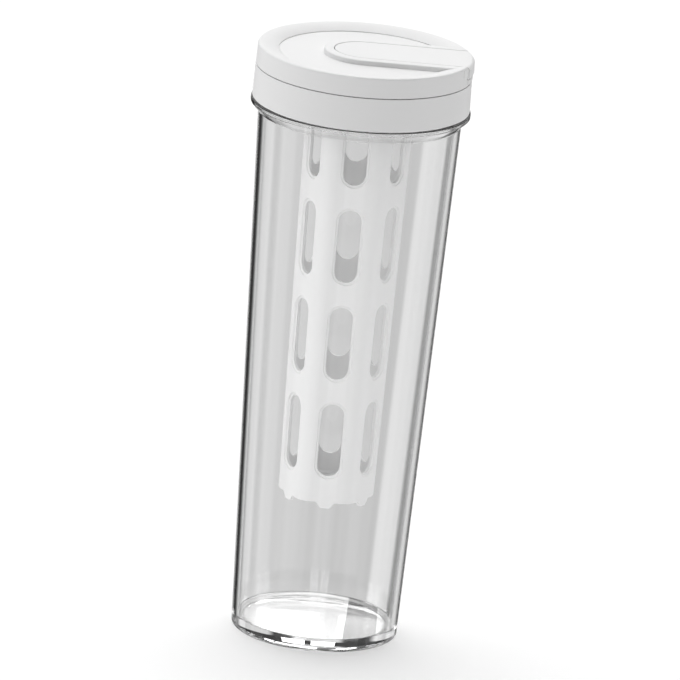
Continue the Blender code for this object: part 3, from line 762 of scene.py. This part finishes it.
class BuildCollar(bpy.types.Operator):
    """Lower tier of the lid: threaded skirt, deck with four pour windows, thread ring and socket."""

    bl_idname = "coldbrew.collar"
    bl_label = "Collar"

    def execute(self, context):
        scene, p = context.scene, plan()
        lid, b, s = scene.lid_sizes, scene.bottle_sizes, scene.infuser_sizes
        bore, shelf, hole = lid.radius - lid.skirt, p.seam_radius - lid.skirt, s.top_flat - s.wall
        socket_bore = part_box("infuser_basket")[1].x + SEAT
        socket_radius = socket_bore + 2.0 * MM
        socket_low = p.deck_low - 8.2 * MM
        small, sharp, under = SMALL_EDGE, 0.02 * MM, 0.5 * MM
        ring_low, ring_high = p.deck_top + 0.4 * MM, p.ring_top - 0.4 * MM
        rows = [
            (hole, p.deck_top, small),
            (p.ring_bore, p.deck_top, small),
            (p.ring_bore, p.ring_top, small),
            (p.ring_radius, p.ring_top, small),
            *run(p.ring_radius, ring_high, p.ring_radius, ring_low, 16).tolist(),
            (p.ring_radius, p.deck_top, small),
            (shelf, p.deck_top, sharp),
            (shelf, p.collar_top, sharp),
            (p.seam_radius, p.collar_top, lid.seam_edge),
            (lid.radius, p.collar_low, lid.edge),
            (bore, p.collar_low, small),
            *run(bore, p.collar_low + 0.5 * MM, bore, p.deck_low - 0.8 * MM, 56).tolist(),
            (bore, p.deck_low, under),
            (socket_radius, p.deck_low, under),
            (socket_radius, socket_low, small),
            (socket_bore, socket_low, small),
            (socket_bore, p.deck_low, small),
            (hole, p.deck_low, small),
        ]
        skirt_thread = helix(-0.7 * MM, b.thread_pitch, p.collar_low + 0.8 * MM, p.deck_low - 1.2 * MM)
        ring_thread = helix(0.35 * MM, LID_PITCH, ring_low, p.ring_top - 0.2 * MM)
        mesh = turned(rounded(rows), 240, [(bore, skirt_thread), (p.ring_radius, ring_thread)])
        border, rib, past = 2.2 * MM, 6.0 * MM, 3 * MM
        near, far = socket_radius + border, p.neck_bore - border
        mesh = carve(mesh, pour_windows(near, far, rib, p.deck_low - past, p.deck_top + past))
        piece("collar_white", mesh, lid_plastic(), "collar", "lid_collar", 40, even=True)
        return {"FINISHED"}


def cap_shell(lid, p):
    """Turned shell of the cap: flat dish, groove and small step, a rim that rises as the square of the way
    to its crest, a quarter circle over the rim, the skirt and the threaded bore."""
    crest = p.cap_radius - lid.rim_fillet
    foot = crest - lid.rim_width
    groove_low, groove_wide = p.dish - 0.25 * MM, 0.4 * MM
    share = np.linspace(1, 0, 25)[:, None]
    rise = lid.rim_rise - lid.dish_step
    slope = np.hstack([crest - lid.rim_width * share, p.rim_top - rise * share**2, 0 * share])
    brow = around(lid.rim_fillet, math.pi / 2, 0, 8)[1:] + [crest, p.rim_top - lid.rim_fillet]
    low, high = p.cap_low + 0.4 * MM, p.cap_under - 0.6 * MM
    rows = [
        (0, p.dish, 0),
        (foot - groove_wide - 0.05 * MM, p.dish, 0.12 * MM),
        (foot - groove_wide, groove_low, 0),
        (foot, groove_low, 0),
        *slope.tolist(),
        *level(brow, 0.0).tolist(),
        (p.seam_radius - 0.1 * MM, p.cap_low, lid.seam_edge),
        (p.cap_bore, p.cap_low, SMALL_EDGE),
        *run(p.cap_bore, low, p.cap_bore, high, 16).tolist(),
        (p.cap_bore, p.cap_under, 0.4 * MM),
        (0, p.cap_under, 0),
    ]
    thread = helix(-0.3 * MM, LID_PITCH, low, p.cap_under - 0.8 * MM)
    return turned(rounded(rows), 288, [(p.cap_bore, thread)], ends="capped")


class BuildCap(bpy.types.Operator):
    """Upper tier of the lid: dish with a sloping rim, boss with the lever's recess, hinge well and spout."""

    bl_idname = "coldbrew.cap"
    bl_label = "Cap"

    def execute(self, context):
        lid, p = context.scene.lid_sizes, plan()
        boss = tab(lid.boss_half_width, p.boss_radius)
        boss = levelled(boss, edge_levels(p.boss_top - BOSS_HEIGHT, p.boss_top, 0, lid.boss_edge, 8))
        boss = carve(boss, [("DIFFERENCE", round_off(p.boss_radius, p.boss_top, 1.6 * MM))])

        pad_low = p.recess_floor - PAD_HEIGHT
        pad = tab(lid.boss_half_width - 0.5 * MM, p.ring_bore - 0.6 * MM)
        pad = levelled(pad, edge_levels(pad_low, p.recess_floor, SMALL_EDGE, 0))
        sleeve_low, sleeve_wall = p.recess_floor - 4.8 * MM, 1.6 * MM
        sleeve = spout_bar(lid.spout_radius + sleeve_wall, sleeve_low, pad_low + SEAT, SMALL_EDGE)
        spout = spout_bar(lid.spout_radius, p.deck_low, p.rim_top + PAST)

        swing = math.hypot(lid.lever_half_width, p.boss_top - HINGE_Z - lid.lever_edge) + lid.groove
        well_wall = bowl(swing + 1.5 * MM, HINGE_Z, p.cap_under + SEAT)
        well = bowl(swing, HINGE_Z, p.recess_floor + SEAT)
        pin_bore = hinge_bar(PIN_BORE, p.pin_half + SEAT)

        ridge_top = p.nose_low - 0.6 * MM
        ridge = block(p.cap_bore + 0.4 * MM, p.cap_radius + 0.5 * MM, lid.lever_half_width - 0.5 * MM)
        ridge = levelled(ridge, edge_levels(ridge_top - 2.2 * MM, ridge_top, SMALL_EDGE, 0.5 * MM))

        flare, over = 0.15 * MM, 0.4 * MM
        levels = [(0.0, p.recess_floor)]
        levels += [(flare * (1 - c), p.boss_top - flare * (1 - n)) for c, n in quarter(4)]
        levels += [(flare + over, p.boss_top + over), (flare + over, p.rim_top + PAST)]
        recess = levelled(tab(p.recess_half_width, p.boss_radius + PAST), levels)
        pocket = block(p.nose_radius - 2.2 * MM, p.boss_radius + PAST, p.recess_half_width)
        pocket = levelled(pocket, [(0, p.nose_low - SEAT), (0, p.rim_top + PAST)])

        steps = [("UNION", shape) for shape in (boss, pad, sleeve, well_wall, ridge)]
        steps += [("DIFFERENCE", shape) for shape in (recess, pocket, well, pin_bore, spout)]
        mesh = carve(cap_shell(lid, p), steps)
        piece("cap_white", mesh, lid_plastic(), "cap", "lid_cap", 20, even=True)
        return {"FINISHED"}


class BuildPin(bpy.types.Operator):
    """Steel hinge pin with softened ends."""

    bl_idname = "coldbrew.pin"
    bl_label = "Hinge pin"

    def execute(self, context):
        radius, half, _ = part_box("hinge_pin")[1]
        mesh = hinge_bar(radius, half, 0.25 * MM, 40)
        piece("pin_steel", mesh, steel(), "cap", "hinge_pin", 40)
        return {"FINISHED"}


class BuildLever(bpy.types.Operator):
    """Flip lever: a long plate with softened edges, its nose, its hinge knuckle and the plug's stud."""

    bl_idname = "coldbrew.lever"
    bl_label = "Lever"

    def execute(self, context):
        lid, p = context.scene.lid_sizes, plan()
        shy = 0.02 * MM
        inside = p.boss_top - 1.4 * MM
        half = lid.lever_half_width - lid.lever_edge
        plate = tab(lid.lever_half_width, p.nose_radius, lid.lever_corner, 32)
        plate = levelled(plate, edge_levels(p.lever_low, p.boss_top, 0.25 * MM, lid.lever_edge, 8))
        nose = block(p.nose_radius - 1.9 * MM, p.nose_radius - shy, lid.lever_half_width - shy)
        nose = levelled(nose, edge_levels(p.nose_low, inside, 0.6 * MM, 0, 6))
        stud = spout_bar(lid.spout_radius - 3.8 * MM, p.lever_low - 1.8 * MM, inside, 0.2 * MM, 48)
        steps = [
            ("DIFFERENCE", round_off(p.nose_radius, p.boss_top, lid.nose_round)),
            ("UNION", nose),
            ("UNION", hinge_bar(1.75 * MM, half, 0.2 * MM, 40)),
            ("UNION", stud),
            ("DIFFERENCE", hinge_bar(PIN_BORE, half + 1 * MM)),
        ]
        mesh = carve(plate, steps)
        piece("lever_white", mesh, lid_plastic(), "lever", "flip_lever", 32, even=True)
        return {"FINISHED"}


class BuildPlug(bpy.types.Operator):
    """Silicone plug under the lever: a tapered cup on the lever's stud."""

    bl_idname = "coldbrew.plug"
    bl_label = "Spout plug"

    def execute(self, context):
        lid = context.scene.lid_sizes
        low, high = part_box("spout_plug")
        radius = (high.x - low.x) / 2
        stud = lid.spout_radius - 3.5 * MM
        cup = plan().lever_low - 2.1 * MM
        rows = [
            (0, cup, 0),
            (stud, cup, 0.2 * MM),
            (stud, high.z, 0.2 * MM),
            (radius, high.z, SMALL_EDGE),
            (radius - 0.6 * MM, low.z, 0.8 * MM),
            (0, low.z, 0),
        ]
        mesh = turned(rounded(rows), 96, ends="capped")
        mesh.transform(Matrix.Translation((lid.spout_x, 0, 0)))
        piece("plug_silicone", mesh, rubber(), "lever", "spout_plug", 45)
        return {"FINISHED"}


def hexagon(flat, corner, height, steps=12):
    """Ring of a hexagon with round corners: six arcs of the corner's radius, whose centres lie
    (flat - corner) / cos 30 degrees from the axis, and the straight flats between them."""
    side = np.arange(6)[:, None]
    direction = math.radians(60) * side - math.pi / 3
    reach = (flat - corner) / math.cos(math.pi / 6)
    turn = direction + np.linspace(-math.pi / 6, math.pi / 6, steps + 1)
    x = reach * np.cos(direction) + corner * np.cos(turn)
    y = reach * np.sin(direction) + corner * np.sin(turn)
    return np.column_stack([x.ravel(), y.ravel(), np.full(x.size, height)])


def circle(radius, height):
    """Ring of a circle, with its points in the directions of the hexagon's."""
    s = bpy.context.scene.infuser_sizes
    ring = hexagon(s.top_flat, s.corner, height)
    ring[:, :2] = unit(ring[:, :2]) * radius
    return ring


def slot_outline(s, grow, steps=9):
    """Outline of an upright slot as (across, up): four arcs of the corner's radius plus the growth."""
    corner_turn = math.pi / 2 * (np.arange(4)[:, None] + np.linspace(0, 1, steps + 1))
    sign_across = np.array([1, -1, -1, 1])[:, None]
    sign_up = np.array([1, 1, -1, -1])[:, None]
    across = sign_across * (s.slot_width / 2 - s.slot_corner) + (s.slot_corner + grow) * np.cos(corner_turn)
    up = sign_up * (s.slot_length / 2 - s.slot_corner) + (s.slot_corner + grow) * np.sin(corner_turn)
    return across.ravel(), up.ravel()


def infuser_plan(s):
    """Heights of the infuser, and the distance of its flats from the axis as a function of the height:
    bottom_flat + taper * (height - bottom)."""
    low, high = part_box("infuser_basket")
    t = SimpleNamespace(radius=high.x, top=high.z, bottom=low.z + 2.5 * MM)
    t.ring_low = t.top - 9.0 * MM
    t.taper = (s.top_flat - s.bottom_flat) / (t.ring_low - t.bottom)
    t.flat_at = lambda height: s.bottom_flat + t.taper * (height - t.bottom)
    return t


def infuser_tube(s, t):
    """Tube of rings that go down the lower edge, up the outside, round the seating ring and down the
    inside to the floor. Every edge is a quarter circle."""
    inner_corner, edge, bend = s.corner - s.wall, 0.35 * MM, 1.5 * MM
    falling = quarter(4)
    rising = [(n, c) for c, n in falling]
    low, top, bottom_flat = t.bottom, t.top, t.flat_at(t.bottom)
    floor = low + 3.0 * MM
    inner = bottom_flat - s.wall
    inner_top = s.top_flat - s.wall
    inner_floor = t.flat_at(floor) - s.wall
    rings = [hexagon(inner, inner_corner, low + 1.0 * MM)]
    rings += [hexagon(inner + edge * (1 - c), inner_corner, low + edge * (1 - n)) for c, n in falling]
    rings += [hexagon(bottom_flat - edge + edge * c, s.corner, low + edge - edge * n) for c, n in rising]
    rings += [hexagon(t.flat_at(t.ring_low), s.corner, t.ring_low)]
    rings += [circle(t.radius - edge + edge * c, t.ring_low + edge - edge * n) for c, n in rising]
    rings += [circle(t.radius - edge * (1 - c), top - edge * (1 - n)) for c, n in falling]
    rings += [hexagon(inner_top + edge * (1 - n), inner_corner, top - edge * (1 - c)) for c, n in falling]
    rings += [hexagon(t.flat_at(floor + bend) - s.wall, inner_corner, floor + bend)]
    rings += [hexagon(inner_floor - bend * (1 - c), inner_corner, floor + bend * (1 - n)) for c, n in falling]
    return loft(rings)


def infuser_lug(s, t, turn):
    """Small lug at the middle of a flat, below the lower edge: a trapezoid with round lower corners, as
    thick as the wall, turned to its flat."""
    half_top, half_low, depth, root = 4.0 * MM, 1.85 * MM, 2.5 * MM, 0.5 * MM
    right = [(half_low, -depth, 0.5 * MM), (half_top, 0.0, 0.0), (half_top, root, 0.0)]
    left = [(-across, up, bend) for across, up, bend in reversed(right)]
    outline = rounded(left + right)
    ends = []
    for out in (s.bottom_flat - s.wall + SEAT, s.bottom_flat - 0.08 * MM):
        ends.append(np.column_stack([np.full(len(outline), out), outline[:, 0], t.bottom + outline[:, 1]]))
    lug = loft(ends)
    lug.transform(Matrix.Rotation(turn, 4, "Z"))
    return lug


def infuser_slots(s, t, turns, rows=4):
    """One cutter for all slots and their sunk borders: each slot is a stack of outlines from inside the
    wall to outside it, which lean with the flat. A row of the stack gives its depth and its growth."""
    width, depth = s.pocket_width, s.pocket_depth
    stack = [
        (-s.wall - 4 * MM, 0.0),
        (-depth, 0.0),
        (-0.75 * depth, 0.65 * width),
        (-0.25 * depth, 0.95 * width),
        (0.0, 1.05 * width),
        (1 * MM, 1.6 * width),
    ]
    bm = bmesh.new()
    for turn in turns:
        for middle in s.slot_first + s.slot_pitch * np.arange(rows):
            rings = []
            for out, grow in stack:
                across, up = slot_outline(s, grow)
                rings.append(np.column_stack([t.flat_at(middle) + out + up * t.taper, across, middle + up]))
            slot = loft(rings)
            slot.transform(Matrix.Rotation(turn, 4, "Z"))
            bm.from_mesh(slot)
            bpy.data.meshes.remove(slot)
    slots = bpy.data.meshes.new("slots")
    bm.to_mesh(slots)
    bm.free()
    return slots


class BuildInfuser(bpy.types.Operator):
    """Slotted infuser: tapered hexagonal tube with round corners, seating ring, 24 slots and six lugs."""

    bl_idname = "coldbrew.infuser"
    bl_label = "Infuser"

    def execute(self, context):
        s = context.scene.infuser_sizes
        t = infuser_plan(s)
        turns = math.radians(60) * np.arange(6) - math.pi / 2
        steps = [("UNION", infuser_lug(s, t, turn)) for turn in turns]
        steps.append(("DIFFERENCE", infuser_slots(s, t, turns)))
        mesh = carve(infuser_tube(s, t), steps)
        white = infuser_plastic()
        piece("infuser_white", mesh, white, "infuser", "infuser_basket", 30, even=True)
        return {"FINISHED"}


# Studio

# Camera's place: how far it stands to the right of, above and behind the origin, in its own directions
CAMERA_RIGHT = 11.454 * MM
CAMERA_UP = 125.04 * MM
CAMERA_BACK = 5465.116 * MM

# Stage: the floor, and a mat that ends inside the foot's outer edge. Both lie a hair below the foot.
FLOOR_RADIUS = 3.0
FLOOR_DROP = 0.2 * MM
MAT_DROP = 0.1 * MM
MAT_MARGIN = 1.0 * MM

# Tones of the backdrop and of the windows above it, by degrees from the middle of each of the four sides
BACKDROP = (
    (-45, 0.85), (-38, 0.9), (-32, 0.04), (-16, 0.03), (-12.5, 0.72), (-6, 0.79), (0, 0.63), (2.8, 0.60),
    (3.2, 0.82), (8.2, 0.97), (10, 0.25), (12, 0.04), (20, 0.04), (24, 0.7), (34, 0.7), (45, 0.7),
)
WINDOWS = ((-45, 0.02), (-11.5, 1.5), (0.5, 0.02), (3.8, 1.5), (15.6, 0.02))


def surroundings(tree, axes, rays):
    """What is mirrored in the plastic or seen through its bends: on each of four sides a pale backdrop with
    dark flags in it, which are strongest behind the bottle, and a dark field with two bright windows above
    it. Rays through the plastic see the windows brighter than mirrored ones do."""
    eighth = math.pi / 4
    azimuth = reckon(tree, "ARCTAN2", axes["X"], axes["Y"])
    folded = reckon(tree, "WRAP", azimuth, eighth, -eighth)
    share = ranged(tree, folded, -eighth, eighth)
    facing = ranged(tree, axes["Y"], -0.1, 0.6, 0.4, 1.0, "SMOOTHSTEP")
    backdrop = blend(tree, facing, (0.68, 0.68, 0.68, 1.0), tone_ramp(tree, share, BACKDROP))
    rise = ranged(tree, axes["Z"], 0.03, 0.1, kind="SMOOTHSTEP")
    scenery = blend(tree, rise, backdrop, tone_ramp(tree, share, WINDOWS, "CONSTANT"))
    glare = reckon(tree, "MULTIPLY", rise, rays["Is Transmission Ray"])
    return background(tree, reckon(tree, "MULTIPLY_ADD", glare, 0.9, 1.0), scenery)


def soft_light(tree, place, axes, studio):
    """Light that falls on the surfaces: a broad lobe from above and behind, an even level from all round
    and a pale table's light from below the horizon."""
    lift = reckon(tree, "MAXIMUM", along(tree, place, (-0.11, 0.4, 0.9)), 0.0)
    above = reckon(tree, "MULTIPLY_ADD", reckon(tree, "POWER", lift, 4.0), studio.overhead, studio.surround)
    below = ranged(tree, axes["Z"], -0.15, 0.0, studio.below, 0.0, "SMOOTHSTEP")
    return background(tree, reckon(tree, "ADD", above, below))


def inside_light(tree, place, studio):
    """Light that reaches the infuser through the wall, a little stronger from the camera's side."""
    lit = ranged(tree, along(tree, place, (0.12, -1.0, 0.0)), -1.0, 1.0, 0.6, 1.3)
    return background(tree, reckon(tree, "MULTIPLY", lit, studio.inside))


def world_light(studio):
    """World: white to the camera, the surroundings for what the plastic mirrors or bends, and soft light
    for everything else, with a light of its own for surfaces behind the plastic."""
    world = bpy.data.worlds.new("studio")
    bpy.context.scene.world = world
    world.use_nodes = True
    tree = world.node_tree
    tree.nodes.clear()
    place = node(tree, "ShaderNodeTexCoord").outputs["Generated"]
    axes = node(tree, "ShaderNodeSeparateXYZ", {0: place}).outputs
    rays = node(tree, "ShaderNodeLightPath").outputs
    soft, inside = soft_light(tree, place, axes, studio), inside_light(tree, place, studio)
    bounced = either(tree, rays["Is Transmission Ray"], soft, inside)
    straight = reckon(tree, "LESS_THAN", rays["Diffuse Depth"], 0.5)
    bare = reckon(tree, "MULTIPLY", mirrored_or_through(tree, rays), straight)
    seen = either(tree, bare, bounced, surroundings(tree, axes, rays))
    surface = either(tree, rays["Is Camera Ray"], seen, background(tree, 1.0))
    node(tree, "ShaderNodeOutputWorld", {"Surface": surface})


def floor_material():
    """Plain pale floor, which keeps the object's shadow."""
    material, tree = blank("pale floor")
    tree.nodes.clear()
    matt = node(tree, "ShaderNodeBsdfDiffuse", {"Color": WHITE})
    node(tree, "ShaderNodeOutputMaterial", {"Surface": matt.outputs["BSDF"]})
    return material


def mat_with_painted_glow(hollow):
    """White mat under the foot, seen through the bottle's floor as painted light. What is seen of it through
    the floor glows evenly, a painted glow in place of a lit table, and dims towards the radius of the hollow,
    a painted shadow under the ring that the bottle stands on; the hollow's middle is seen a little shifted by
    the thick floor."""
    material, tree = blank("white mat")
    tree.nodes.clear()
    shift, border = 3.5 * MM, 1.0 * MM
    place = node(tree, "ShaderNodeTexCoord").outputs["Object"]
    reach = node(tree, "ShaderNodeVectorMath", {0: place, 1: (0, shift, 0)}, operation="DISTANCE")
    # painted shadow: the glow drops from 0.68 to 0.3 at the hollow's radius, in place of the shade under the
    # standing ring
    tone = ranged(tree, reach.outputs["Value"], hollow - border, hollow, 0.68, 0.3, "SMOOTHSTEP")
    # painted light: an emission, not a lamp, makes the mat glow where it is seen through the plastic
    painted_glow_and_shadow = node(tree, "ShaderNodeEmission", {"Strength": tone})
    matt = node(tree, "ShaderNodeBsdfDiffuse", {"Color": (0.9, 0.9, 0.9, 1.0)})
    seen = mirrored_or_through(tree, node(tree, "ShaderNodeLightPath").outputs)
    surface = either(tree, seen, matt.outputs["BSDF"], painted_glow_and_shadow.outputs["Emission"])
    node(tree, "ShaderNodeOutputMaterial", {"Surface": surface})
    return material


def disc(name, radius, height, material):
    """Flat round stage piece that faces up: rings of points at growing radii about the axis."""
    path = np.column_stack([np.linspace(0, radius, 9), np.full(9, height)])
    mesh = skin(revolve(path, 96)[::-1], "open")
    mesh.name = name
    mesh.materials.append(material)
    item = bpy.data.objects.new(name, mesh)
    bpy.context.scene.collection.objects.link(item)
    return item


def place_camera(context, studio):
    """Camera at the photograph's angle: it looks down by the elevation, and the picture is rolled."""
    tilt, roll = math.radians(studio.elevation), math.radians(studio.roll)
    level_right = Vector((1, 0, 0))
    level_up = Vector((0, math.sin(tilt), math.cos(tilt)))
    ahead = Vector((0, math.cos(tilt), -math.sin(tilt)))
    right = math.cos(roll) * level_right + math.sin(roll) * level_up
    up = -math.sin(roll) * level_right + math.cos(roll) * level_up
    data = bpy.data.cameras.new("camera")
    data.lens, data.sensor_width = studio.lens, 36.0
    data.clip_start, data.clip_end = 0.1, 20.0
    camera = bpy.data.objects.new("camera", data)
    context.scene.collection.objects.link(camera)
    place = CAMERA_RIGHT * right + CAMERA_UP * up - CAMERA_BACK * ahead
    camera.matrix_world = Matrix.Translation(place) @ Matrix((right, up, -ahead)).transposed().to_4x4()
    context.scene.camera = camera


def place_lamp(context, studio):
    """Large soft lamp at the left, turned to the middle of the bottle."""
    lamp = bpy.data.lights.new("key", "AREA")
    lamp.shape, lamp.size, lamp.size_y = "RECTANGLE", 1.1, 1.1
    lamp.energy = studio.key
    key = bpy.data.objects.new("key", lamp)
    context.scene.collection.objects.link(key)
    spot, aim = Vector((-1.5, -0.3, 0.6)), Vector((0, 0, 0.2))
    key.matrix_world = Matrix.Translation(spot) @ (aim - spot).to_track_quat("-Z", "Y").to_matrix().to_4x4()


class BuildStudio(bpy.types.Operator):
    """Camera at the photograph's angle, pale floor, mat with a painted glow and a painted shadow ring, soft
    lamp and world.
    """

    bl_idname = "coldbrew.studio"
    bl_label = "Studio"

    def execute(self, context):
        studio, b = context.scene.studio, context.scene.bottle_sizes
        place_camera(context, studio)
        floor = disc("floor", FLOOR_RADIUS, -FLOOR_DROP, floor_material())
        for ray in ("diffuse", "glossy", "transmission", "shadow"):
            setattr(floor, "visible_" + ray, False)
        hollow = b.foot_radius - b.foot_fillet - b.foot_width
        # the mat seen through the plastic is painted light: an even glow, with a painted shadow ring at the
        # hollow's edge
        disc("mat", b.foot_radius - MAT_MARGIN, -MAT_DROP, mat_with_painted_glow(hollow))
        place_lamp(context, studio)
        world_light(studio)
        context.scene.view_settings.view_transform = "Standard"
        return {"FINISHED"}


OPERATORS = (
    BuildStudio,
    BuildBottle,
    BuildSeals,
    BuildCollar,
    BuildCap,
    BuildPin,
    BuildLever,
    BuildPlug,
    BuildInfuser,
)


class BottlePanel(bpy.types.Panel):
    """Sidebar panel with the sizes, the finishes and one button for each piece."""

    bl_idname = "VIEW3D_PT_coldbrew"
    bl_label = "Cold brew bottle"
    bl_space_type = "VIEW_3D"
    bl_region_type = "UI"
    bl_category = "Bottle"

    def draw(self, context):
        layout = self.layout
        for operator in OPERATORS:
            layout.operator(operator.bl_idname)
        for title, _ in GROUPS:
            group = getattr(context.scene, title)
            box = layout.box()
            box.label(text=group.bl_rna.description)
            for key in group.bl_rna.properties.keys():
                if key not in ("rna_type", "name"):
                    box.prop(group, key)


GROUPS = (
    ("bottle_sizes", BottleSizes),
    ("lid_sizes", LidSizes),
    ("infuser_sizes", InfuserSizes),
    ("finishes", Finishes),
    ("studio", Studio),
)


def register():
    """Make the groups of properties, the operators and the panel known."""
    for title, group in GROUPS:
        bpy.utils.register_class(group)
        setattr(bpy.types.Scene, title, bpy.props.PointerProperty(type=group))
    for item in (*OPERATORS, BottlePanel):
        bpy.utils.register_class(item)


def unregister():
    """Take them back, the last one first."""
    for item in reversed((*OPERATORS, BottlePanel)):
        bpy.utils.unregister_class(item)
    for title, group in reversed(GROUPS):
        delattr(bpy.types.Scene, title)
        bpy.utils.unregister_class(group)


def main():
    """Register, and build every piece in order."""
    register()
    for operator in OPERATORS:
        group, _, name = operator.bl_idname.partition(".")
        getattr(getattr(bpy.ops, group), name)()


if __name__ == "__main__":
    main()
